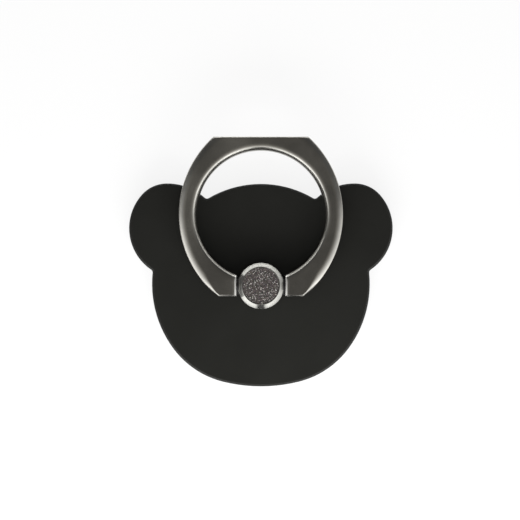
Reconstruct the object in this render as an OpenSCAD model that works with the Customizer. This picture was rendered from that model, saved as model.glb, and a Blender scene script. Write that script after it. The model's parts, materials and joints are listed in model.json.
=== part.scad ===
// Phone ring holder: a flat animal-head plate that sticks to the back of a phone, with a turning hub
// that carries a folding finger ring. Millimetres. The origin is on the swivel axis at the
// adhesive's back face, +Z points away from the phone and +Y towards the ears.

/* [Head outline] */
// Radius of the long arcs at the sides of the head
head_side_r = 17.1; // [16.5:0.1:18.5]
// Height of the side arcs' centre above the swivel axis
head_side_y = 0.3; // [0:0.1:1]
// How much tighter the arcs at the head's lower corners are than its side arcs
head_corner_step = 3.25; // [2:0.25:5]
// Radius of the shallow arc along the chin
chin_r = 24.7; // [22:0.1:28]
// How far the chin lies inside the circle of the side arcs
chin_flattening = 1; // [0.5:0.1:1.5]
// Radius of the arc between the ears
crown_r = 16.2; // [15.2:0.1:17.2]
// Distance from the swivel axis up to the crown
crown_rise = 16; // [15:0.1:17]

/* [Ears] */
// Sideways distance from the swivel axis to the centre of an ear
ear_x = 12.8; // [12:0.05:14]
// Height of that centre above the swivel axis
ear_y = 9.05; // [8.5:0.05:10]
// Radius of an ear's outer side
ear_side_r = 7.9; // [7:0.05:8.25]
// Direction in which the ear's side runs over into its shoulder, in degrees
ear_shoulder_angle = 42; // [35:1:50]
// Radius of an ear's shoulder
ear_shoulder_r = 5.25; // [4.5:0.05:6.5]
// Direction in which the shoulder runs over into the ear's top, in degrees
ear_top_angle = 88; // [80:1:95]
// Radius of an ear's top
ear_top_r = 8.7; // [8:0.05:9.5]
// Fillet in the notches where the ears meet the head
notch_r = 0.5; // [0.2:0.05:1]

/* [Base plate] */
// Thickness of the plate
plate_t = 2; // [1.8:0.1:3]
// Width and height of the bevel round the plate's front
plate_bevel = 0.3; // [0.2:0.05:0.7]
// Rounding of the plate's back edge
plate_back_round = 0.2; // [0.1:0.05:0.4]
// Thickness of the web that the hub turns on
web_t = 0.8; // [0.6:0.1:1]

/* [Adhesive pad] */
// Thickness of the foam adhesive
pad_t = 0.8; // [0.5:0.1:1.5]
// How far the adhesive stays inside the plate's outline
pad_inset = 0.5; // [0.2:0.1:1.5]

/* [Swivel hub] */
// Diameter of the hub
hub_d = 7.26; // [6.5:0.02:8.5]
// How far the hub's face stands above the ring's face
hub_proud = 0.5; // [0.3:0.05:1.2]
// Width and height of the bevel round the hub's front
hub_bevel = 0.6; // [0.3:0.05:0.7]
// Width of the lip between that bevel and the inlay's recess
hub_lip = 0.15; // [0.15:0.05:0.4]
// Chamfer on the lip's inner edge
lip_chamfer = 0.05; // [0.02:0.01:0.1]
// Diameter of the stem that turns in the plate
stem_d = 4; // [3.5:0.1:4.6]
// Diameter of the riveted neck behind the stem
neck_d = 3; // [2.4:0.1:3.2]
// How far the riveted end spreads past the neck
rivet_spread = 0.4; // [0.2:0.05:0.8]
// Radial running gap between the stem and the plate
stem_gap = 0.05; // [0.02:0.01:0.1]

/* [Inlay] */
// Thickness of the glitter disc let into the hub
inlay_t = 0.35; // [0.2:0.05:0.45]
// How far the disc's face lies below the hub's lip
inlay_drop = 0.08; // [0.02:0.01:0.15]
// Radial gap round the glitter disc
inlay_gap = 0.03; // [0.01:0.01:0.08]

/* [Washers] */
// Thickness of the slip washer between hub and plate
slip_washer_t = 0.2; // [0.1:0.05:0.4]
// How far the slip washer stays inside the hub's rim
slip_washer_inset = 0.33; // [0.1:0.01:0.8]
// Outside diameter of the wave washer and the retaining washer
washer_d = 7; // [6.4:0.1:7.6]
// Thickness of the wave washer's spring steel
wave_sheet_t = 0.2; // [0.15:0.01:0.25]
// Height of the wave washer when it is fitted
wave_washer_h = 0.34; // [0.3:0.01:0.36]
// Number of waves round the wave washer
wave_count = 3; // [3:1:4]
// Thickness of the retaining washer
retaining_washer_t = 0.4; // [0.3:0.05:0.45]
// Clearance between the washers and the stem
washer_gap = 0.1; // [0.05:0.05:0.3]
// Clearance round the washers in the plate's recess
recess_gap = 0.3; // [0.1:0.05:0.5]

/* [Hinge] */
// Diameter of the hinge pin
pin_d = 1.5; // [1:0.1:1.7]
// How far the pin's ends stay inside the ring's sides
pin_recess = 0.1; // [0.05:0.05:0.8]
// Chamfer on the pin's ends
pin_chamfer = 0.15; // [0.05:0.05:0.3]
// Radial running gap between the pin and its bushes
pin_gap = 0.03; // [0.02:0.01:0.08]
// Wall thickness of a bush
bush_wall = 0.32; // [0.2:0.01:0.4]
// Length of a bush inside the hub
bush_length = 2; // [1.2:0.1:2.6]
// Thickness of a bush's flange
bush_flange_t = 0.4; // [0.3:0.05:0.45]
// Width of the flange beyond the bush's wall
bush_flange_w = 0.3; // [0.2:0.05:0.35]
// Depth of the flat on the hub that the flange seats on
hub_flat_depth = 0.35; // [0.3:0.05:0.5]
// Width of that flat beyond the flange
hub_flat_margin = 0.05; // [0.02:0.01:0.15]

/* [Finger ring] */
// Diameter of the finger hole at its narrowest, halfway through the ring
finger_hole_d = 20; // [18.5:0.1:22]
// How far the hole's rounded wall falls back between its middle and its bevels
hole_draft = 0.25; // [0.05:0.05:0.4]
// Width and height of the bevels round the hole
hole_bevel = 0.45; // [0.2:0.05:0.7]
// Distance from the hinge pin's axis to the nearest point of the hole
ring_root = 1.15; // [1:0.05:2]
// Thickness of metal between the hole and the ring's widest points
ring_side_wall = 2.85; // [2.4:0.05:3.6]
// How far the centre of each side arc lies past the middle of the ring
side_arc_offset = 3.6; // [2:0.1:5]
// Thickness of metal between the hole and the flat top edge
ring_top_wall = 2.2; // [1.6:0.05:3]
// Thickness of the ring
ring_t = 2.8; // [2.2:0.1:3.6]
// Width of the crowned border along the side arcs
crown_w = 1; // [0.6:0.05:1.2]
// Radius in which that border falls off
crown_fall_r = 1.5; // [1.3:0.05:3]
// Distance from the hinge pin's axis to the flat heels of the ring's ends
ring_heel = 1.6; // [1.3:0.05:1.8]
// Gap between the ring's heels and the plate as the ring swings over
heel_gap = 0.25; // [0.15:0.05:1]
// Side gap between the ring's ends and the flanges of the bushes
ring_side_gap = 0.26; // [0.15:0.01:0.4]
// Chamfer on the edges of the ring's flat top, heels and end faces
ring_chamfer = 0.2; // [0.1:0.02:0.4]

/* [Hidden] */
$fn = 96;

// Gap that keeps the wave washer's crests from digging into their seats
seat_gap = 0.01;
// Length by which a cutting shape passes the face that it cuts
over = 1;

// Heights of the stack, from the phone outwards
plate_front_z = pad_t + plate_t;
web_back_z = plate_front_z - web_t;
hub_back_z = plate_front_z + slip_washer_t;
ring_half_t = ring_t / 2;
// The heels' chamfered corners swing round the pin, so they set how high it sits above the plate
heel_swing_r = max(norm([ring_heel, ring_half_t - ring_chamfer]),
    norm([ring_heel - ring_chamfer, ring_half_t]));
pin_z = plate_front_z + heel_gap + heel_swing_r;
hub_front_z = pin_z + ring_half_t + hub_proud;
stem_end_z = web_back_z - wave_washer_h;
rivet_front_z = stem_end_z - retaining_washer_t;
rivet_back_z = (rivet_front_z + pad_t) / 2;

// Radii that several pieces share
hub_r = hub_d / 2;
stem_r = stem_d / 2;
neck_r = neck_d / 2;
washer_r = washer_d / 2;
washer_bore_r = stem_r + washer_gap;
recess_r = washer_r + recess_gap;
pin_r = pin_d / 2;
bush_bore_r = pin_r + pin_gap;
bush_r = bush_bore_r + bush_wall;
bush_flange_r = bush_r + bush_flange_w;
inlay_recess_r = hub_r - hub_bevel - hub_lip;
finger_hole_r = finger_hole_d / 2;

// Places along the hinge, and the ring's outline
flange_seat_x = hub_r - hub_flat_depth;
ring_gap_x = flange_seat_x + bush_flange_t + ring_side_gap;
hole_y = finger_hole_r + ring_root;
ring_top_y = hole_y + finger_hole_r + ring_top_wall;
ring_w = 2 * (finger_hole_r + ring_side_wall);
ring_side_r = ring_w / 2 + side_arc_offset;
// The pin stops where the ring's side arc passes the pin's lower side
pin_end_x = sqrt(pow(ring_side_r, 2) - pow(hole_y + pin_r, 2)) - side_arc_offset - pin_recess;

function polar(angle) = [cos(angle), sin(angle)];
function heading(from, to) = atan2(to.y - from.y, to.x - from.x);
// The point at distance reach_a from a and reach_b from b that lies to the left on the way from a to b
function point_between(a, reach_a, b, reach_b) =
    let (span = norm(b - a))
    let (along = (pow(reach_a, 2) - pow(reach_b, 2) + pow(span, 2)) / (2 * span))
    let (across = sqrt(pow(reach_a, 2) - pow(along, 2)))
    a + along * polar(heading(a, b)) + across * polar(heading(a, b) + 90);

// Centres of the arcs that make the outline's right half; each arc runs smoothly into the next
head_corner_r = head_side_r - head_corner_step;
chin_c = [0, chin_r - (head_side_r - head_side_y - chin_flattening)];
side_c = [0, head_side_y];
crown_c = [0, crown_rise - crown_r];
corner_c = point_between(chin_c, chin_r - head_corner_r, side_c, head_side_r - head_corner_r);
ear_side_c = [ear_x, ear_y];
ear_shoulder_c = ear_side_c + (ear_side_r - ear_shoulder_r) * polar(ear_shoulder_angle);
ear_top_c = ear_shoulder_c + (ear_shoulder_r - ear_top_r) * polar(ear_top_angle);
side_notch_c = point_between(ear_side_c, ear_side_r + notch_r, side_c, head_side_r + notch_r);
top_notch_c = point_between(crown_c, crown_r + notch_r, ear_top_c, ear_top_r + notch_r);

// Arcs of the outline's right half, from the chin to the crown: centre, radius, first and last
// direction, and 1 where the plate is inside the arc or -1 in the notches, where it is outside
OUTLINE = [
    [chin_c, chin_r, -90, heading(chin_c, corner_c), 1],
    [corner_c, head_corner_r, heading(chin_c, corner_c), heading(side_c, corner_c), 1],
    [side_c, head_side_r, heading(side_c, corner_c), heading(side_c, side_notch_c), 1],
    [side_notch_c, notch_r, heading(side_notch_c, side_c) + 360, heading(side_notch_c, ear_side_c), -1],
    [ear_side_c, ear_side_r, heading(ear_side_c, side_notch_c), ear_shoulder_angle, 1],
    [ear_shoulder_c, ear_shoulder_r, ear_shoulder_angle, ear_top_angle, 1],
    [ear_top_c, ear_top_r, ear_top_angle, heading(ear_top_c, top_notch_c), 1],
    [top_notch_c, notch_r, heading(top_notch_c, ear_top_c), heading(top_notch_c, crown_c), -1],
    [crown_c, crown_r, heading(crown_c, top_notch_c), 90, 1],
];
// Most by which a chord of the outline may leave its arc, and steps in the rounded back edge
chord_error = 0.008;
round_steps = 3;

// Points along one arc, without its last one, moved into the plate by inset
function arc_points(arc, inset) =
    let (steps = ceil(abs(arc[3] - arc[2]) / (2 * acos(1 - chord_error / arc[1]))))
    [for (i = [0:steps - 1])
        arc[0] + (arc[1] - arc[4] * inset) * polar(arc[2] + (arc[3] - arc[2]) * i / steps)];

// Points round the whole outline, anticlockwise from the middle of the chin
function outline_points(inset) =
    let (right_half = [for (arc = OUTLINE, point = arc_points(arc, inset)) point])
    let (left_half = [for (i = [len(right_half) - 1:-1:1]) [-right_half[i].x, right_half[i].y]])
    concat(right_half, [[0, crown_rise - inset]], left_half);

// Plate without its bore: a ring of outline points at each level of the edge, closed by a fan round
// the swivel axis at the back and at the front
module plate_blank() {
    // Inset and height of each level: the rounded back edge, then the bevelled front edge
    levels = concat(
        [for (i = [0:round_steps])
            let (angle = 90 * i / round_steps)
            [plate_back_round * (1 - sin(angle)), plate_back_round * (1 - cos(angle))]],
        [[0, plate_t - plate_bevel], [plate_bevel, plate_t]]
    );
    rings = [for (level = levels)
        [for (point = outline_points(level[0])) [point.x, point.y, level[1]]]];
    count = len(rings[0]);
    last_ring = count * (len(levels) - 1);
    points = concat([for (ring = rings, point = ring) point], [[0, 0, 0], [0, 0, plate_t]]);
    back_centre = len(points) - 2;
    front_centre = len(points) - 1;
    walls = [for (k = [0:len(levels) - 2], i = [0:count - 1])
        let (here = k * count + i)
        let (next = k * count + (i + 1) % count)
        [here, here + count, next + count, next]];
    back_fan = [for (i = [0:count - 1]) [back_centre, i, (i + 1) % count]];
    front_fan = [for (i = [0:count - 1]) [front_centre, last_ring + (i + 1) % count, last_ring + i]];
    polyhedron(points, concat(walls, back_fan, front_fan));
}

// Foam adhesive between the plate and the phone
module adhesive_pad() {
    color("#3a3a3c")
        linear_extrude(pad_t)
            polygon(outline_points(pad_inset));
}

// Moulded plate with a bore for the hub's stem and a recess behind it for the washers
module base_plate() {
    color("#262624")
        difference() {
            translate([0, 0, pad_t])
                plate_blank();
            cylinder(r = stem_r + stem_gap, h = plate_front_z + over);
            cylinder(r = recess_r, h = web_back_z);
        }
}

// Slip washer that the hub slides on
module slip_washer() {
    color("#d8d6cf")
        translate([0, 0, plate_front_z])
            difference() {
                cylinder(r = hub_r - slip_washer_inset, h = slip_washer_t);
                translate([0, 0, -over])
                    cylinder(r = washer_bore_r, h = slip_washer_t + 2 * over);
            }
}

// Turned hub: a drum with a bevelled rim and a recess for the inlay, a cross bore with a flat at each
// end for the bushes, and a stem riveted behind the plate
module swivel_hub() {
    color("#8b8782")
        difference() {
            rotate_extrude()
                hub_section();
            translate([0, 0, pin_z])
                rotate([0, 90, 0]) {
                    cylinder(r = bush_r, h = 2 * hub_r, center = true);
                    for (side = [0, 1])
                        mirror([0, 0, side])
                            translate([0, 0, flange_seat_x])
                                cylinder(r = bush_flange_r + hub_flat_margin, h = hub_r);
                }
        }
}

// Half section of the hub, with its axis at x = 0
module hub_section() {
    recess_z = hub_front_z - inlay_drop - inlay_t;
    polygon([
        [0, rivet_back_z], [neck_r + rivet_spread, rivet_back_z],
        [neck_r + rivet_spread, rivet_front_z], [neck_r, rivet_front_z],
        [neck_r, stem_end_z], [stem_r, stem_end_z], [stem_r, hub_back_z],
        [hub_r, hub_back_z], [hub_r, hub_front_z - hub_bevel], [hub_r - hub_bevel, hub_front_z],
        [inlay_recess_r + lip_chamfer, hub_front_z], [inlay_recess_r, hub_front_z - lip_chamfer],
        [inlay_recess_r, recess_z], [0, recess_z],
    ]);
}

// Wave washer: a sprung steel ring, bent into waves that bear on the web and on the retaining washer
module wave_washer() {
    steps = 48;
    rise = (wave_washer_h - wave_sheet_t) / 2 - seat_gap;
    middle_z = stem_end_z + wave_washer_h / 2;
    // Inner bottom, outer bottom, outer top and inner top corner at each step round the ring
    corners = [for (i = [0:steps - 1])
        let (angle = 360 * i / steps)
        let (z = middle_z + rise * cos(wave_count * angle))
        for (corner = [[washer_bore_r, -1], [washer_r, -1], [washer_r, 1], [washer_bore_r, 1]])
            [corner[0] * cos(angle), corner[0] * sin(angle), z + corner[1] * wave_sheet_t / 2]];
    sides = [for (i = [0:steps - 1], k = [0:3])
        let (here = 4 * i)
        let (next = 4 * ((i + 1) % steps))
        [here + k, here + (k + 1) % 4, next + (k + 1) % 4, next + k]];
    color("#b9bcc0")
        polyhedron(corners, sides);
}

// Flat washer that the riveted neck holds against the stem's shoulder
module retaining_washer() {
    color("#a9acb0")
        translate([0, 0, rivet_front_z])
            difference() {
                cylinder(r = washer_r, h = retaining_washer_t);
                translate([0, 0, -over])
                    cylinder(r = neck_r, h = retaining_washer_t + 2 * over);
            }
}

// Glitter disc glued into the hub's recess
module hub_inlay() {
    color("#55504f")
        translate([0, 0, hub_front_z - inlay_drop - inlay_t])
            cylinder(r = inlay_recess_r - inlay_gap, h = inlay_t);
}

// Flanged bush pressed into one end of the hub's cross bore; side is 1 on the right and -1 on the left
module bush(side) {
    color("#1e1e1e")
        translate([0, 0, pin_z])
            rotate([0, 90 * side, 0])
                difference() {
                    union() {
                        translate([0, 0, flange_seat_x - bush_length])
                            cylinder(r = bush_r, h = bush_length + bush_flange_t);
                        translate([0, 0, flange_seat_x])
                            cylinder(r = bush_flange_r, h = bush_flange_t);
                    }
                    cylinder(r = bush_bore_r, h = hub_r + over);
                }
}

module bush_left() {
    bush(-1);
}

module bush_right() {
    bush(1);
}

// Hinge pin: pressed through both ends of the ring, and free to turn in the bushes
module hinge_pin() {
    shoulder_x = pin_end_x - pin_chamfer;
    tip_r = pin_r - pin_chamfer;
    color("#3c3d3f")
        translate([0, 0, pin_z])
            rotate([0, 90, 0])
                rotate_extrude()
                    polygon([[0, -pin_end_x], [tip_r, -pin_end_x], [pin_r, -shoulder_x],
                        [pin_r, shoulder_x], [tip_r, pin_end_x], [0, pin_end_x]]);
}

// Die-cast finger ring: two long crowned arcs, a flat top edge and a gap for the hub
module finger_ring() {
    color("#5b5853")
        translate([0, 0, pin_z])
            difference() {
                intersection() {
                    ring_slab();
                    ring_side_disc(1);
                    ring_side_disc(-1);
                }
                translate([0, hole_y, 0])
                    rotate_extrude()
                        finger_hole_section();
                ring_gap_cutter();
                rotate([0, 90, 0])
                    cylinder(r = pin_r, h = ring_w, center = true);
            }
}

// Bar from the heels to the flat top, seen from the side: its ends are chamfered, and it is thicker
// than the ring, whose faces the side discs make
module ring_slab() {
    straight_z = ring_half_t - ring_chamfer;
    slope = ring_chamfer + over;
    front = [[ring_top_y, straight_z], [ring_top_y - slope, straight_z + slope],
        [slope - ring_heel, straight_z + slope], [-ring_heel, straight_z]];
    back = [for (i = [3:-1:0]) [front[i].x, -front[i].y]];
    rotate([90, 0, 90])
        linear_extrude(ring_w, center = true)
            polygon(concat(front, back));
}

// Disc whose rim is one of the ring's long side arcs, with a crowned border on both faces
module ring_side_disc(side) {
    translate([-side * side_arc_offset, hole_y, 0])
        rotate_extrude()
            difference() {
                translate([0, -ring_half_t])
                    square([ring_side_r, ring_t]);
                for (face = [0, 1])
                    mirror([0, face])
                        translate([ring_side_r - crown_w, ring_half_t - crown_fall_r])
                            difference() {
                                square(crown_fall_r + over);
                                circle(crown_fall_r);
                            }
            }
}

// Half section of the finger hole: its wall bulges towards the finger in one arc between the bevels
module finger_hole_section() {
    bevel_z = ring_half_t - hole_bevel;
    bevel_r = finger_hole_r + hole_draft;
    slope = hole_bevel + over;
    wall_r = (pow(bevel_z, 2) + pow(hole_draft, 2)) / (2 * hole_draft);
    difference() {
        polygon([
            [0, -bevel_z - slope], [bevel_r + slope, -bevel_z - slope], [bevel_r, -bevel_z],
            [bevel_r, bevel_z], [bevel_r + slope, bevel_z + slope], [0, bevel_z + slope],
        ]);
        intersection() {
            translate([finger_hole_r + wall_r, 0])
                circle(wall_r);
            translate([0, -bevel_z])
                square([bevel_r, 2 * bevel_z]);
        }
    }
}

// Gap between the ring's ends, flared at both faces to chamfer the end faces
module ring_gap_cutter() {
    straight_z = ring_half_t - ring_chamfer;
    slope = ring_chamfer + over;
    right_side = [[ring_gap_x + slope, -straight_z - slope], [ring_gap_x, -straight_z],
        [ring_gap_x, straight_z], [ring_gap_x + slope, straight_z + slope]];
    left_side = [for (point = right_side) -point];
    translate([0, hole_y, 0])
        rotate([90, 0, 0])
            linear_extrude(hole_y + ring_heel + over)
                polygon(concat(right_side, left_side));
}

adhesive_pad();
base_plate();
slip_washer();
swivel_hub();
wave_washer();
retaining_washer();
hub_inlay();
bush_left();
bush_right();
hinge_pin();
finger_ring();
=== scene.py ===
import json
import math

import bmesh
import bpy
from mathutils import Matrix, Vector


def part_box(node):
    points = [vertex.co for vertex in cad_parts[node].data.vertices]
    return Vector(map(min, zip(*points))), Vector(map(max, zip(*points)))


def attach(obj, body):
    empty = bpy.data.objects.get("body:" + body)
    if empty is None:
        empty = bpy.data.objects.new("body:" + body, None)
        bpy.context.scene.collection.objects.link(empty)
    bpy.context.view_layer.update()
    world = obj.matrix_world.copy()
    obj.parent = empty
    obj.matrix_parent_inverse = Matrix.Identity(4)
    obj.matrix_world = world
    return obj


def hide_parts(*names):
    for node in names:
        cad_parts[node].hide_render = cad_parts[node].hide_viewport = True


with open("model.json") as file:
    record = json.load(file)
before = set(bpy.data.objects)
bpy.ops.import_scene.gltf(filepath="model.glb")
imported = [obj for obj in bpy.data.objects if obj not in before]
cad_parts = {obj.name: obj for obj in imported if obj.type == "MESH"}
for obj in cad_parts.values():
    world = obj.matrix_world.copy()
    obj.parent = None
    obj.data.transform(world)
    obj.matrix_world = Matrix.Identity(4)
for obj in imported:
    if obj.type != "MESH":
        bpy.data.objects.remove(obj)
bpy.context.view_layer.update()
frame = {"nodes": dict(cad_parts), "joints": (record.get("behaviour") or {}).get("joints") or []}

# Base plate
# The head-shaped plate is moulded in black plastic with a satin face and a bevelled front edge.
# Everything else is built up on it, so it comes first. Its mesh starts as a merged copy of the
# solid, whose sharp edges are then broken by a small rounding.
mm = 0.001
plate_black = (0.0100, 0.0101, 0.0088, 1)
plate_darker = (0.0093, 0.0094, 0.0082, 1)
plate_paler = (0.0107, 0.0108, 0.0095, 1)
plate_grain = 0.12 * mm
plate_grain_depth = 0.004 * mm
plate_cloud = 9 * mm
plate_edge_round = 0.09 * mm
noise_low = 0.35
noise_high = 0.65


def new_material(name, base_color, metallic, roughness):
    """A Principled material, with its node tree, its shader and its object coordinates."""
    material = bpy.data.materials.new(name)
    material.use_nodes = True
    tree = material.node_tree
    shader = tree.nodes["Principled BSDF"]
    shader.inputs["Base Color"].default_value = base_color
    shader.inputs["Metallic"].default_value = metallic
    shader.inputs["Roughness"].default_value = roughness
    place = tree.nodes.new("ShaderNodeTexCoord").outputs["Object"]
    return material, tree, shader, place


def noise(tree, place, size, detail=3.0):
    """Noise whose grains are about size across."""
    node = tree.nodes.new("ShaderNodeTexNoise")
    node.inputs["Scale"].default_value = 1 / size
    node.inputs["Detail"].default_value = detail
    tree.links.new(place, node.inputs["Vector"])
    return node.outputs["Fac"]


def vary_roughness(tree, shader, value, low, high):
    """Roughness from low to high, which follows a number from 0 to 1."""
    node = tree.nodes.new("ShaderNodeMapRange")
    node.inputs["To Min"].default_value = low
    node.inputs["To Max"].default_value = high
    tree.links.new(value, node.inputs["Value"])
    tree.links.new(node.outputs["Result"], shader.inputs["Roughness"])


def shades(tree, value, stops):
    """Colours that follow a number: stops are pairs of position and colour."""
    ramp = tree.nodes.new("ShaderNodeValToRGB")
    elements = ramp.color_ramp.elements
    for element, (position, color) in zip(elements, (stops[0], stops[-1])):
        element.position = position
        element.color = color
    for position, color in stops[1:-1]:
        elements.new(position).color = color
    tree.links.new(value, ramp.inputs["Fac"])
    return ramp.outputs["Color"]


def relief(tree, shader, height, depth):
    """Bump of a real depth, in metres, from a number between 0 and 1."""
    node = tree.nodes.new("ShaderNodeBump")
    node.inputs["Distance"].default_value = depth
    tree.links.new(height, node.inputs["Height"])
    tree.links.new(node.outputs["Normal"], shader.inputs["Normal"])


def finish_piece(name, bm, material, body, node):
    """Makes the piece from its finished mesh; it rides on a body and stands for a solid."""
    mesh = bpy.data.meshes.new(name)
    bmesh.ops.recalc_face_normals(bm, faces=bm.faces)
    for face in bm.faces:
        face.smooth = True
    bm.to_mesh(mesh)
    bm.free()
    mesh.materials.append(material)
    piece = bpy.data.objects.new(name, mesh)
    bpy.context.scene.collection.objects.link(piece)
    weighted = piece.modifiers.new("flat faces stay flat", "WEIGHTED_NORMAL")
    weighted.weight = 100
    weighted.keep_sharp = False
    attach(piece, body)
    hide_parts(node)


def round_edges(bm, width, segments, sharper_than=20):
    """Rounds every edge whose faces meet at more than the given angle, in degrees."""
    sharp = [edge for edge in bm.edges if edge.calc_face_angle(0) > math.radians(sharper_than)]
    bmesh.ops.bevel(
        bm, geom=sharp, offset=width, offset_type="OFFSET", segments=segments,
        profile=0.5, affect="EDGES", clamp_overlap=True, material=-1,
    )


def merged_copy(node):
    """A bmesh of a solid, with its loose triangles merged into whole faces."""
    bm = bmesh.new()
    bm.from_mesh(frame["nodes"][node].data)
    bmesh.ops.remove_doubles(bm, verts=bm.verts, dist=0.001 * mm)
    bmesh.ops.dissolve_limit(
        bm, angle_limit=math.radians(0.2), verts=bm.verts, edges=bm.edges,
    )
    return bm


satin_plastic, tree, shader, place = new_material(
    "satin black plastic", plate_black, metallic=0, roughness=0.42
)
shader.inputs["Specular IOR Level"].default_value = 0.2
cloud = noise(tree, place, plate_cloud)
vary_roughness(tree, shader, cloud, low=0.37, high=0.47)
tree.links.new(
    shades(tree, cloud, [(noise_low, plate_darker), (noise_high, plate_paler)]),
    shader.inputs["Base Color"],
)
relief(tree, shader, noise(tree, place, plate_grain), plate_grain_depth)

bm = merged_copy("base_plate")
round_edges(bm, plate_edge_round, segments=3, sharper_than=15)
finish_piece("moulded_plate", bm, satin_plastic, "plate", "base_plate")

# Adhesive pad
# A die-cut piece of dark foam adhesive with the plate's outline, stuck to the plate's back. It is
# what holds the part on a phone. The solid has the right form, so it only gets its material.
foam_dark = (0.045, 0.045, 0.05, 1)
pore_dark = (0.02, 0.02, 0.024, 1)
pore_size = 0.15 * mm
pore_depth = 0.03 * mm
pore_wall = 0.7


def dress(material, *nodes):
    """Gives solids their material."""
    for node in nodes:
        materials = frame["nodes"][node].data.materials
        materials.clear()
        materials.append(material)


foam, tree, shader, place = new_material("closed-cell foam", foam_dark, metallic=0, roughness=0.8)
pores = tree.nodes.new("ShaderNodeTexVoronoi")
pores.inputs["Scale"].default_value = 1 / pore_size
tree.links.new(place, pores.inputs["Vector"])
tree.links.new(
    shades(tree, pores.outputs["Distance"], [(0, pore_dark), (pore_wall, foam_dark)]),
    shader.inputs["Base Color"],
)
relief(tree, shader, pores.outputs["Distance"], pore_depth)
dress(foam, "adhesive_pad")

# Slip washer
# A thin washer punched from natural nylon sheet, on which the hub turns. It keeps the hub's metal
# off the plate.
natural_nylon = (0.75, 0.74, 0.69, 1)
nylon_grain = 0.1 * mm
nylon_grain_depth = 0.003 * mm
nylon_patch = 0.6 * mm
nylon_glow_depth = 0.4 * mm

nylon, tree, shader, place = new_material("natural nylon", natural_nylon, metallic=0, roughness=0.45)
shader.inputs["Subsurface Weight"].default_value = 0.2
shader.inputs["Subsurface Scale"].default_value = nylon_glow_depth
relief(tree, shader, noise(tree, place, nylon_grain), nylon_grain_depth)
vary_roughness(tree, shader, noise(tree, place, nylon_patch), low=0.38, high=0.52)
dress(nylon, "slip_washer")

# Bushes
# Flanged bushes moulded in black acetal, one pressed into each end of the hub's cross bore. The pin
# turns in them, and their flanges keep the ring's ends off the hub.
black_acetal = (0.012, 0.012, 0.012, 1)
acetal_grain = 0.08 * mm
acetal_grain_depth = 0.002 * mm
acetal_patch = 0.4 * mm

acetal, tree, shader, place = new_material("black acetal", black_acetal, metallic=0, roughness=0.4)
vary_roughness(tree, shader, noise(tree, place, acetal_patch), low=0.33, high=0.48)
relief(tree, shader, noise(tree, place, acetal_grain), acetal_grain_depth)
dress(acetal, "bush_left", "bush_right")

# Wave washer and retaining washer
# Two steel rings behind the plate: the sprung one keeps a light drag on the hub, and the flat one is
# held by the hub's riveted neck.
plain_steel = (0.55, 0.55, 0.54, 1)
scratch_length = 0.9 * mm
scratch_stretch = 12
scratch_depth = 0.002 * mm

steel, tree, shader, place = new_material("ground steel", plain_steel, metallic=1, roughness=0.3)
stretched = tree.nodes.new("ShaderNodeMapping")
stretched.inputs["Scale"].default_value = (1, scratch_stretch, scratch_stretch)
tree.links.new(place, stretched.inputs["Vector"])
scratches = noise(tree, stretched.outputs["Vector"], scratch_length)
vary_roughness(tree, shader, scratches, low=0.22, high=0.4)
relief(tree, shader, scratches, scratch_depth)
dress(steel, "wave_washer", "retaining_washer")

# Hinge pin
# A ground steel pin with a blackened surface, pressed through both ends of the finger ring. It turns
# in the bushes.
black_oxide = (0.05, 0.05, 0.052, 1)
oxide_grain = 0.05 * mm
oxide_grain_depth = 0.001 * mm
oxide_patch = 0.3 * mm

blackened, tree, shader, place = new_material("blackened steel", black_oxide, metallic=1, roughness=0.35)
vary_roughness(tree, shader, noise(tree, place, oxide_patch), low=0.28, high=0.45)
relief(tree, shader, noise(tree, place, oxide_grain), oxide_grain_depth)
dress(blackened, "hinge_pin")

# Swivel hub
# A drum turned from bar and plated in black nickel, with a stem through the plate and a riveted
# neck. Its rim is bevelled round a narrow lip, its face is recessed for the inlay, and a cross bore
# takes the bushes. The sizes of its shape, and of the ring's, are in millimetres.
hub_metal_color = (0.33, 0.327, 0.306, 1)
hub_bevel = 0.66
hub_bevel_drop = 0.64
hub_lip = 0.09
rim_low_ease = 0.06
rim_ease = 0.065
lip_ease = 0.02
recess_depth = 0.43
neck_spread_r = 1.9
neck_r = 1.5
stem_r = 2
retaining_washer_t = 0.4
hub_edge_round = 0.05
flat_r = 1.45
flange_seat_x = 3.28
bush_r = 1.1
overshoot = 1
touching = 0.0001
sliver = 0.006
turning_mark = 0.06 * mm
turning_depth = 0.0006 * mm
hub_patch = 0.5 * mm

hub_low, hub_high = (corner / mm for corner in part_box("swivel_hub"))
washer_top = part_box("retaining_washer")[1].z / mm
drum_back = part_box("slip_washer")[1].z / mm
hub_r = hub_high.x
recess_r = hub_r - hub_bevel - hub_lip
joint_places = {joint["name"]: joint["pos_m"] for joint in frame["joints"]}
pin_z = joint_places["ring_fold"][2] / mm


def turned(bm, profile, centre=(0, 0, 0), first=0.0, sweep=360.0, steps=192):
    """Turns a profile of distances and heights about the upright axis through centre."""
    start = Matrix.Rotation(math.radians(first), 3, "Z")
    corners = [bm.verts.new(Vector(centre) + start @ Vector((r, 0, z))) for r, z in profile]
    sides = [bm.edges.new(pair) for pair in zip(corners, corners[1:])]
    bmesh.ops.spin(
        bm, geom=corners + sides, cent=centre, axis=(0, 0, 1),
        angle=math.radians(sweep), steps=steps, use_merge=sweep == 360,
    )


def eased(before, corner, after, lengths, steps=8):
    """Points of a profile that round its corner, starting and ending those lengths away from it."""
    before, corner, after = Vector(before), Vector(corner), Vector(after)
    first = corner + lengths[0] * (before - corner).normalized()
    last = corner + lengths[1] * (after - corner).normalized()
    places = [i / steps for i in range(steps + 1)]
    return [
        tuple((1 - t) ** 2 * first + 2 * t * (1 - t) * corner + t ** 2 * last) for t in places
    ]


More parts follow.
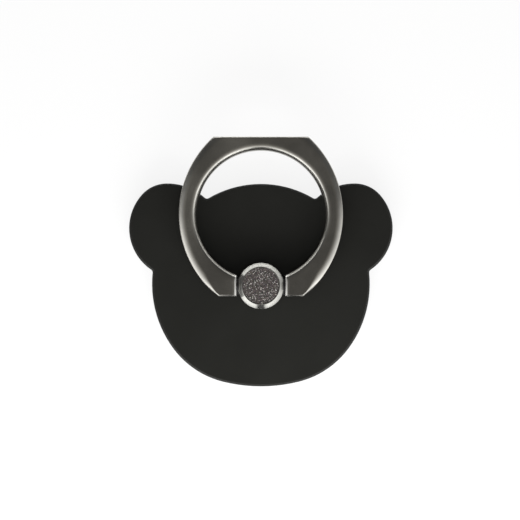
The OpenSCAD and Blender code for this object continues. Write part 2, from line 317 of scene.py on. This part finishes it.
def rod(radius, start_x, end_x, height):
    """A bmesh of a round bar along X at that height."""
    bm = bmesh.new()
    middle = Matrix.Translation(((start_x + end_x) / 2, 0, height))
    bmesh.ops.create_cone(
        bm, cap_ends=True, segments=96, radius1=radius, radius2=radius,
        depth=abs(end_x - start_x), matrix=middle @ Matrix.Rotation(math.radians(90), 4, "Y"),
    )
    return bm


def cut_away(bm, cutter):
    """Cuts the closed shape cutter out of the piece, and merges the slivers that this leaves."""
    parts = []
    for shape in (bm, cutter):
        mesh = bpy.data.meshes.new("part")
        bmesh.ops.recalc_face_normals(shape, faces=shape.faces)
        shape.to_mesh(mesh)
        parts.append(bpy.data.objects.new("part", mesh))
        bpy.context.scene.collection.objects.link(parts[-1])
    cutter.free()
    whole, tool = parts
    cut = whole.modifiers.new("cut", "BOOLEAN")
    cut.solver = "EXACT"
    cut.object = tool
    left = bpy.data.meshes.new_from_object(
        whole.evaluated_get(bpy.context.evaluated_depsgraph_get())
    )
    bm.clear()
    bm.from_mesh(left)
    bmesh.ops.remove_doubles(bm, verts=bm.verts, dist=sliver)
    for part in parts:
        bpy.data.objects.remove(part)


hub_metal, tree, shader, place = new_material(
    "turned black nickel", hub_metal_color, metallic=1, roughness=0.17
)
flat_place = tree.nodes.new("ShaderNodeVectorMath")
flat_place.operation = "MULTIPLY"
flat_place.inputs[1].default_value = (1, 1, 0)
tree.links.new(place, flat_place.inputs[0])
from_axis = tree.nodes.new("ShaderNodeVectorMath")
from_axis.operation = "LENGTH"
tree.links.new(flat_place.outputs["Vector"], from_axis.inputs[0])
turning = tree.nodes.new("ShaderNodeTexNoise")
turning.noise_dimensions = "1D"
turning.inputs["Scale"].default_value = 1 / turning_mark
tree.links.new(from_axis.outputs["Value"], turning.inputs["W"])
relief(tree, shader, turning.outputs["Fac"], turning_depth)
vary_roughness(tree, shader, noise(tree, place, hub_patch), low=0.13, high=0.24)

rim_low = (hub_r, hub_high.z - hub_bevel_drop)
rim_high = (hub_r - hub_bevel, hub_high.z)
lip = (recess_r, hub_high.z)
recess_foot = (recess_r, hub_high.z - recess_depth)
rim = [
    *eased((hub_r, drum_back), rim_low, rim_high, (rim_low_ease, rim_low_ease)),
    *eased(rim_low, rim_high, lip, (rim_ease, rim_ease)),
    *eased(rim_high, lip, recess_foot, (lip_ease, lip_ease), steps=6),
]
bm = bmesh.new()
turned(bm, [
    (0, hub_low.z), (neck_spread_r, hub_low.z),
    (neck_spread_r, washer_top - retaining_washer_t), (neck_r, washer_top - retaining_washer_t),
    (neck_r, washer_top), (stem_r, washer_top), (stem_r, drum_back), (hub_r, drum_back),
    *rim, recess_foot, (0, recess_foot[1]),
])
bmesh.ops.remove_doubles(bm, verts=bm.verts, dist=touching)
cut_away(bm, rod(bush_r, -hub_r - overshoot, hub_r + overshoot, pin_z))
for side in (-1, 1):
    cut_away(bm, rod(flat_r, side * flange_seat_x, side * (hub_r + overshoot), pin_z))
round_edges(bm, hub_edge_round, segments=3)
bmesh.ops.scale(bm, vec=(mm, mm, mm), verts=bm.verts)
finish_piece("turned_hub", bm, hub_metal, "swivel", "swivel_hub")

# Hub inlay
# A disc of dark glitter film under clear lacquer, glued into the recess in the hub's face. The
# flakes lie at small random angles, so that single ones flash.
film_dark = (0.05, 0.045, 0.046, 1)
flake_dark = (0.029, 0.028, 0.026, 1)
flake_middle = (0.071, 0.068, 0.063, 1)
flake_bright = (0.19, 0.183, 0.168, 1)
flake_size = 0.06 * mm
flake_tint = 0.35
flake_tilt = 0.7
spangle_color = (0.85, 0.83, 0.78, 1)
spangle_size = 0.1 * mm
spangle_share = (0.9, 0.98)


def cells(tree, place, size):
    """Random colours of flakes that are about size across."""
    node = tree.nodes.new("ShaderNodeTexVoronoi")
    node.inputs["Scale"].default_value = 1 / size
    tree.links.new(place, node.inputs["Vector"])
    return node.outputs["Color"]


def blend(tree, mode, factor, first, second):
    """Two colours, each a value or an output, blended in the given mode."""
    node = tree.nodes.new("ShaderNodeMix")
    node.data_type = "RGBA"
    node.blend_type = mode
    colors = [socket for socket in node.inputs if socket.type == "RGBA"]
    for value, socket in zip((factor, first, second), (node.inputs[0], *colors)):
        if isinstance(value, bpy.types.NodeSocket):
            tree.links.new(value, socket)
        else:
            socket.default_value = value
    return next(socket for socket in node.outputs if socket.type == "RGBA")


glitter, tree, shader, place = new_material("dark glitter", film_dark, metallic=0.6, roughness=0.4)
fine = cells(tree, place, flake_size)
chance = tree.nodes.new("ShaderNodeSeparateColor")
tree.links.new(fine, chance.inputs["Color"])
film = shades(tree, chance.outputs["Red"], [
    (0, flake_dark),
    (0.55, flake_middle),
    (0.9, flake_bright),
])
tinted = blend(tree, "MULTIPLY", flake_tint, film, fine)
spangles = tree.nodes.new("ShaderNodeSeparateColor")
tree.links.new(cells(tree, place, spangle_size), spangles.inputs["Color"])
shining = tree.nodes.new("ShaderNodeMapRange")
shining.inputs["From Min"].default_value = spangle_share[0]
shining.inputs["From Max"].default_value = spangle_share[1]
tree.links.new(spangles.outputs["Green"], shining.inputs["Value"])
tree.links.new(
    blend(tree, "MIX", shining.outputs["Result"], tinted, spangle_color),
    shader.inputs["Base Color"],
)
tilt = tree.nodes.new("ShaderNodeVectorMath")
tilt.operation = "MULTIPLY_ADD"
tilt.inputs[1].default_value = (flake_tilt, flake_tilt, 0)
tilt.inputs[2].default_value = (-flake_tilt / 2, -flake_tilt / 2, 0)
tree.links.new(fine, tilt.inputs[0])
upright = tree.nodes.new("ShaderNodeNewGeometry")
tilted = tree.nodes.new("ShaderNodeVectorMath")
tree.links.new(upright.outputs["Normal"], tilted.inputs[0])
tree.links.new(tilt.outputs["Vector"], tilted.inputs[1])
flat = tree.nodes.new("ShaderNodeVectorMath")
flat.operation = "NORMALIZE"
tree.links.new(tilted.outputs["Vector"], flat.inputs[0])
tree.links.new(flat.outputs["Vector"], shader.inputs["Normal"])
shader.inputs["Coat Weight"].default_value = 0.5
shader.inputs["Coat Roughness"].default_value = 0.15
dress(glitter, "hub_inlay")

# Finger ring
# Die-cast, polished and plated in black nickel. Its sides are two long crowned arcs, its top edge
# and its heels are cut flat, and the gap between its ends takes the hub. The right half is shaped
# first, in millimetres from the pin's axis, and then mirrored.
ring_metal_color = (0.46, 0.449, 0.414, 1)
ring_dark = (0.37, 0.361, 0.333, 1)
ring_pale = (0.55, 0.537, 0.495, 1)
# The pale colour just below is a painted highlight, mixed into the ring's ends beside the gap.
painted_end_highlight = (0.85, 0.84, 0.80, 1)
hole_r = 10
hole_draft = 0.25
ring_root = 1.15
hole_bevel = 0.45
crown_w = 1.2
crown_fall_r = 1.8
side_arc_offset = 3.6
side_arc_start = -65
side_arc_sweep = 143
hole_start = -80
hole_sweep = 170
ring_chamfer = 0.2
top_chamfer = 0.1
top_crown_cuts = (0.2, 0.35, 0.5, 0.65, 0.8)
crown_taper_from = -37
crown_taper = 0.06
crown_narrowest = 0.3
ring_gap_x = 3.86
end_reach_y = 6
end_slope_w = 0.3
end_slope_drop = 0.14
end_ease = 0.5
end_edge_least = 1
pin_bore_r = 0.75
ring_edge_round = 0.09
bevel_ease = (0.22, 0.6)
side_ease = 0.08
patch_size = 7 * mm
patch_pattern = 3.6
cast_grain = 0.15 * mm
cast_grain_depth = 0.0006 * mm
painted_highlight_reach = 0.2

ring_low, ring_high = (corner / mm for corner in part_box("finger_ring"))
half_t = (ring_high.z - ring_low.z) / 2
top_y = ring_high.y
heel_y = ring_low.y
hole_y = hole_r + ring_root
hole_centre = (0, hole_y, 0)
arc_centre = (-side_arc_offset, hole_y, 0)
side_arc_r = ring_high.x + side_arc_offset


def arc_profile(centre_r, centre_z, radius, first, last, steps):
    """Points of a rounded stretch of a profile, directions in degrees."""
    angles = [math.radians(first + (last - first) * i / steps) for i in range(steps + 1)]
    return [
        (centre_r + radius * math.cos(angle), centre_z + radius * math.sin(angle))
        for angle in angles
    ]


def cut_flat(bm, point, normal, near=None):
    """Removes what lies past a plane and closes the cut; near picks the faces that it applies to."""
    faces = [face for face in bm.faces if near is None or near(face.calc_center_median())]
    edges = list({edge for face in faces for edge in face.edges})
    corners = list({corner for face in faces for corner in face.verts})
    cut = bmesh.ops.bisect_plane(
        bm, geom=corners + edges + faces, dist=touching / 10, plane_co=point, plane_no=normal,
        clear_outer=True,
    )
    rim = [part for part in cut["geom_cut"] if isinstance(part, bmesh.types.BMEdge)]
    bmesh.ops.edgeloop_fill(bm, edges=rim)


ring_metal, tree, shader, place = new_material(
    "cast black nickel", ring_metal_color, metallic=1, roughness=0.2
)
# The ring's colour varies in patches. This is partly a random tone of the plating and partly a painted
# reflection of a face that is not quite flat.
tone_and_reflection_patches = noise(tree, place, patch_size, detail=5.0)
tone_and_reflection_patches.node.noise_dimensions = "4D"
tone_and_reflection_patches.node.inputs["W"].default_value = patch_pattern
vary_roughness(tree, shader, tone_and_reflection_patches, low=0.19, high=0.27)
# Near the gap, on the ring's ends, the colour is mixed towards a pale one: a painted highlight on the
# ends' eased edges.
sides = tree.nodes.new("ShaderNodeSeparateXYZ")
tree.links.new(place, sides.inputs["Vector"])
from_middle = tree.nodes.new("ShaderNodeMath")
from_middle.operation = "ABSOLUTE"
tree.links.new(sides.outputs["X"], from_middle.inputs[0])
beside_gap = tree.nodes.new("ShaderNodeMapRange")
beside_gap.inputs["From Min"].default_value = (ring_gap_x + end_ease + painted_highlight_reach) * mm
beside_gap.inputs["From Max"].default_value = ring_gap_x * mm
tree.links.new(from_middle.outputs["Value"], beside_gap.inputs["Value"])
at_ends = tree.nodes.new("ShaderNodeMath")
at_ends.operation = "LESS_THAN"
at_ends.inputs[1].default_value = end_reach_y * mm
tree.links.new(sides.outputs["Y"], at_ends.inputs[0])
painted_highlight_mask = tree.nodes.new("ShaderNodeMath")
painted_highlight_mask.operation = "MULTIPLY"
tree.links.new(beside_gap.outputs["Result"], painted_highlight_mask.inputs[0])
tree.links.new(at_ends.outputs["Value"], painted_highlight_mask.inputs[1])
plating_tone_and_painted_reflection = shades(tree, tone_and_reflection_patches, [(noise_low, ring_dark), (noise_high, ring_pale)])
tree.links.new(
    blend(tree, "MIX", painted_highlight_mask.outputs["Value"], plating_tone_and_painted_reflection, painted_end_highlight),
    shader.inputs["Base Color"],
)
relief(tree, shader, noise(tree, place, cast_grain), cast_grain_depth)

crown_turn = math.degrees(math.asin(crown_w / crown_fall_r))
crown = arc_profile(
    side_arc_r - crown_w, half_t - crown_fall_r, crown_fall_r,
    first=90, last=90 - crown_turn, steps=10,
)
crown[-1:] = eased(crown[-2], crown[-1], (side_arc_r, 0), (side_ease, side_ease), steps=4)
wall_r = ((half_t - hole_bevel) ** 2 + hole_draft ** 2) / (2 * hole_draft)
wall_turn = math.degrees(math.asin((half_t - hole_bevel) / wall_r))
wall = arc_profile(
    hole_r + wall_r, 0, wall_r, first=180 - wall_turn, last=180 + wall_turn, steps=12
)
bevel_end_r = hole_r + hole_draft + hole_bevel
front_bevel = eased((bevel_end_r + 1, half_t), (bevel_end_r, half_t), wall[0], bevel_ease[::-1])

bm = bmesh.new()
turned(
    bm, crown + [(r, -z) for r, z in reversed(crown)], arc_centre,
    first=side_arc_start, sweep=side_arc_sweep, steps=160,
)
# Below crown_taper_from, in degrees, the crown narrows by the share crown_taper for each degree.
for corner in bm.verts:
    out_x, out_y = corner.co.x + side_arc_offset, corner.co.y - hole_y
    past = crown_taper_from - math.degrees(math.atan2(out_y, out_x))
    if past > 0:
        arm = math.hypot(out_x, out_y)
        new_arm = side_arc_r - (side_arc_r - arm) * max(crown_narrowest, 1 - crown_taper * past)
        corner.co.x = out_x * new_arm / arm - side_arc_offset
        corner.co.y = out_y * new_arm / arm + hole_y
turned(
    bm, front_bevel + wall + [(r, -z) for r, z in reversed(front_bevel)], hole_centre,
    first=hole_start, sweep=hole_sweep, steps=190,
)
for face_z in (half_t, -half_t):
    rims = [
        edge for edge in bm.edges
        if edge.is_boundary and all(abs(corner.co.z - face_z) < touching for corner in edge.verts)
    ]
    bmesh.ops.bridge_loops(bm, edges=rims)
bmesh.ops.bisect_plane(
    bm, geom=bm.verts[:] + bm.edges[:] + bm.faces[:], dist=touching / 10, plane_no=(-1, 0, 0),
    clear_outer=True,
)
lower_end = [
    edge for edge in bm.edges
    if edge.is_boundary and all(corner.co.y < hole_y for corner in edge.verts)
]
bmesh.ops.edgeloop_fill(bm, edges=lower_end)
cut_flat(bm, (0, heel_y, 0), (0, -1, 0))
cut_flat(bm, (ring_gap_x, 0, 0), (-1, 0, 0), near=lambda middle: middle.y < end_reach_y)
for face_side in (1, -1):
    cut_flat(bm, (0, heel_y, face_side * (half_t - ring_chamfer)), (0, -1, face_side))
    cut_flat(
        bm, (ring_gap_x, 0, face_side * (half_t - end_slope_drop)),
        (-end_slope_drop, 0, face_side * end_slope_w),
        near=lambda middle: middle.y < end_reach_y,
    )
# The long edges, where the slopes at the end meet the faces, are rounded.
soft = [
    edge for edge in bm.edges if edge.calc_length() > end_edge_least and all(
        abs(corner.co.x - ring_gap_x - end_slope_w) < 10 * touching
        and abs(abs(corner.co.z) - half_t) < 10 * touching
        and corner.co.y < end_reach_y for corner in edge.verts
    )
]
bmesh.ops.bevel(
    bm, geom=soft, offset=end_ease, offset_type="WIDTH", segments=8, profile=0.5,
    affect="EDGES", clamp_overlap=True, material=-1,
)
bmesh.ops.mirror(bm, geom=bm.verts[:] + bm.edges[:] + bm.faces[:], axis="X", merge_dist=touching)
cut_flat(bm, (0, top_y, 0), (0, 1, 0))
# The top edge's chamfer is one plane on the flat, and then one for each place along the crown.
for face_side in (1, -1):
    cut_flat(bm, (0, top_y, face_side * (half_t - top_chamfer)), (0, 1, face_side))
    for along in top_crown_cuts:
        into_crown = along * crown_w
        arm = side_arc_r - crown_w + into_crown
        x = math.sqrt(arm ** 2 - (top_y - hole_y) ** 2) - side_arc_offset
        left_over = math.sqrt(crown_fall_r ** 2 - into_crown ** 2)
        slope = into_crown / left_over * (x + side_arc_offset) / arm
        edge_z = half_t - crown_fall_r + left_over - top_chamfer
        for side in (1, -1):
            cut_flat(bm, (side * x, top_y, face_side * edge_z), (side * slope, 1, face_side))
bmesh.ops.dissolve_limit(bm, angle_limit=math.radians(0.1), verts=bm.verts, edges=bm.edges)
cut_away(bm, rod(pin_bore_r, -ring_high.x, ring_high.x, 0))
round_edges(bm, ring_edge_round, segments=3)
bmesh.ops.scale(bm, vec=(mm, mm, mm), verts=bm.verts)
bmesh.ops.translate(bm, vec=joint_places["ring_fold"], verts=bm.verts)
finish_piece("cast_finger_ring", bm, ring_metal, "ring", "finger_ring")

# Studio
# A pale floor just under the part, a camera that looks straight down as the photograph's does, and
# soft light: dim overhead, bright from the low front, with a narrow bright strip behind. Two black
# cards and three gaps in the light give the polished metal its dark parts.
floor_size = 4
floor_gap = 0.03 * mm
floor_white = (0.9, 0.9, 0.9, 1)
floor_glow = 0.85
picture_width = 81.64 * mm
picture_centre = (-0.14 * mm, 4.05 * mm)
camera_distance = 1
sensor_width = 36
card_black = (0.11, 0.11, 0.11, 1)
card_grain = 0.5 * mm
card_grain_depth = 0.02 * mm
overhead = 0.102
overhead_tint = (1, 0.965, 0.91, 1)
front_strength = 2.75
horizon_strength = 0.8
back_strength = 3.3
side_strength = 0.25

camera_data = bpy.data.cameras.new("camera")
camera = bpy.data.objects.new("camera", camera_data)
bpy.context.scene.collection.objects.link(camera)
bpy.context.scene.camera = camera
camera.location = (*picture_centre, camera_distance)
plate_front_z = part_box("base_plate")[1].z
camera_data.sensor_width = sensor_width
camera_data.lens = sensor_width * (camera_distance - plate_front_z) / picture_width
camera_data.clip_end = 10


def seen_directly(tree):
    """1 for rays that come from the camera, or by way of metal or glass."""
    path = tree.nodes.new("ShaderNodeLightPath")
    seen = tree.nodes.new("ShaderNodeMath")
    seen.operation = "MAXIMUM"
    glossy_or_glass = tree.nodes.new("ShaderNodeMath")
    glossy_or_glass.operation = "MAXIMUM"
    tree.links.new(path.outputs["Is Glossy Ray"], glossy_or_glass.inputs[0])
    tree.links.new(path.outputs["Is Transmission Ray"], glossy_or_glass.inputs[1])
    tree.links.new(path.outputs["Is Camera Ray"], seen.inputs[0])
    tree.links.new(glossy_or_glass.outputs["Value"], seen.inputs[1])
    return seen.outputs["Value"]


paper, tree, shader, place = new_material("white paper", floor_white, metallic=0, roughness=0.9)
shader.inputs["Specular IOR Level"].default_value = 0
glow = tree.nodes.new("ShaderNodeEmission")
glow.inputs["Strength"].default_value = 1
lit = tree.nodes.new("ShaderNodeMixShader")
lit.inputs["Fac"].default_value = floor_glow
shown = tree.nodes.new("ShaderNodeMixShader")
output = tree.nodes["Material Output"]
tree.links.new(shader.outputs["BSDF"], lit.inputs[1])
tree.links.new(glow.outputs["Emission"], lit.inputs[2])
tree.links.new(seen_directly(tree), shown.inputs["Fac"])
tree.links.new(shader.outputs["BSDF"], shown.inputs[1])
tree.links.new(lit.outputs["Shader"], shown.inputs[2])
tree.links.new(shown.outputs["Shader"], output.inputs["Surface"])

bm = bmesh.new()
bmesh.ops.create_grid(bm, x_segments=1, y_segments=1, size=floor_size / 2)
floor_mesh = bpy.data.meshes.new("floor")
bm.to_mesh(floor_mesh)
bm.free()
floor_mesh.materials.append(paper)
floor_mesh.transform(Matrix.Translation((0, 0, -floor_gap)))
floor = bpy.data.objects.new("floor", floor_mesh)
bpy.context.scene.collection.objects.link(floor)


def flag(name, place, width, height, turn):
    """An upright black card on the floor; only polished metal shows it."""
    bm = bmesh.new()
    stand = Matrix.Translation(place) @ Matrix.Rotation(math.radians(turn), 4, "Z")
    corners = [
        bm.verts.new(stand @ Vector((x, 0, z)))
        for x, z in ((-width / 2, 0), (width / 2, 0), (width / 2, height), (-width / 2, height))
    ]
    bm.faces.new(corners)
    mesh = bpy.data.meshes.new(name)
    bm.to_mesh(mesh)
    bm.free()
    mesh.materials.append(card)
    sheet = bpy.data.objects.new(name, mesh)
    bpy.context.scene.collection.objects.link(sheet)
    sheet.visible_camera = False
    sheet.visible_diffuse = False
    sheet.visible_shadow = False


card, tree, shader, place = new_material("black card", card_black, metallic=0, roughness=0.9)
shader.inputs["Specular IOR Level"].default_value = 0.2
relief(tree, shader, noise(tree, place, card_grain), card_grain_depth)
flag("front flag", (0, -42 * mm, 0), width=15.5 * mm, height=30 * mm, turn=0)
flag("left flag", (-46 * mm, 0, 0), width=56 * mm, height=12 * mm, turn=90)


def softbox(name, place, aim, width, height, watts):
    """An area lamp that points from its place towards aim, and that polished metal doesn't show."""
    data = bpy.data.lights.new(name, "AREA")
    data.shape = "RECTANGLE"
    data.size = width
    data.size_y = height
    data.energy = watts
    lamp = bpy.data.objects.new(name, data)
    bpy.context.scene.collection.objects.link(lamp)
    lamp.location = place
    lamp.rotation_euler = (Vector(aim) - Vector(place)).to_track_quat("-Z", "Y").to_euler()
    lamp.visible_camera = False
    lamp.visible_glossy = False


softbox(
    "low front fill", place=(0, -62 * mm, 40 * mm), aim=(0, -8 * mm, 3 * mm),
    width=110 * mm, height=30 * mm, watts=0.1,
)
softbox(
    "top fill", place=(0, 0, 300 * mm), aim=(0, 0, 0),
    width=200 * mm, height=200 * mm, watts=0.18,
)

scene = bpy.context.scene
scene.view_settings.view_transform = "Standard"
world = bpy.data.worlds.new("studio")
scene.world = world
world.use_nodes = True
tree = world.node_tree
sky = tree.nodes["Background"]
direction = tree.nodes.new("ShaderNodeTexCoord").outputs["Generated"]
parts = tree.nodes.new("ShaderNodeSeparateXYZ")
tree.links.new(direction, parts.inputs["Vector"])
east, north, up = (parts.outputs[axis] for axis in "XYZ")


def figure(operation, *values):
    """A Math node of numbers or outputs."""
    node = tree.nodes.new("ShaderNodeMath")
    node.operation = operation
    for value, socket in zip(values, node.inputs):
        if isinstance(value, (int, float)):
            socket.default_value = value
        else:
            tree.links.new(value, socket)
    return node.outputs["Value"]


def product(*values):
    """The product of numbers or outputs."""
    result = values[0]
    for value in values[1:]:
        result = figure("MULTIPLY", result, value)
    return result


def lobe(value, centre, width):
    """1 at centre, falling off on both sides as a bell of that width."""
    away = figure("DIVIDE", figure("SUBTRACT", value, centre), width)
    return figure("EXPONENT", product(away, away, -1))


def ramp(value, low, high):
    """Rises smoothly from 0 at low to 1 at high."""
    node = tree.nodes.new("ShaderNodeMapRange")
    node.interpolation_type = "SMOOTHSTEP"
    node.inputs["From Min"].default_value = low
    node.inputs["From Max"].default_value = high
    tree.links.new(value, node.inputs["Value"])
    return node.outputs["Result"]


south = figure("MULTIPLY", north, -1)
west = figure("MULTIPLY", east, -1)
low_down = figure("POWER", figure("SUBTRACT", 1, up), 0.7)
front_light = product(ramp(south, low=-0.3, high=0.6), low_down, front_strength)
horizon = product(lobe(up, centre=0, width=0.16), horizon_strength)
back_strip = product(
    ramp(north, low=-0.1, high=0.7), lobe(up, centre=0, width=0.07), back_strength
)
side_glow = product(
    lobe(north, centre=-0.1, width=0.3), lobe(up, centre=0.45, width=0.25), side_strength
)
light = overhead
for part in (front_light, horizon, back_strip, side_glow):
    light = figure("ADD", light, part)
front_gap = product(
    ramp(south, low=0, high=0.5), lobe(east, centre=0, width=0.2), lobe(up, centre=0, width=0.55)
)
left_gap = product(
    ramp(west, low=0, high=0.5), lobe(north, centre=0.12, width=0.22), lobe(up, centre=0, width=0.2)
)
right_gap = product(ramp(east, low=0.3, high=0.85), lobe(up, centre=0, width=0.2))
for gap, depth in ((front_gap, 0.92), (left_gap, 0.92), (right_gap, 0.3)):
    light = product(light, figure("SUBTRACT", 1, product(gap, depth)))
path = tree.nodes.new("ShaderNodeLightPath")
seen = figure("MAXIMUM", path.outputs["Is Camera Ray"], path.outputs["Is Transmission Ray"])
strength = tree.nodes.new("ShaderNodeMix")
tree.links.new(seen, strength.inputs["Factor"])
tree.links.new(light, strength.inputs["A"])
strength.inputs["B"].default_value = 1
tree.links.new(strength.outputs["Result"], sky.inputs["Strength"])
tinted = product(ramp(up, low=0.75, high=0.95), figure("SUBTRACT", 1, seen))
tree.links.new(blend(tree, "MIX", tinted, (1, 1, 1, 1), overhead_tint), sky.inputs["Color"])
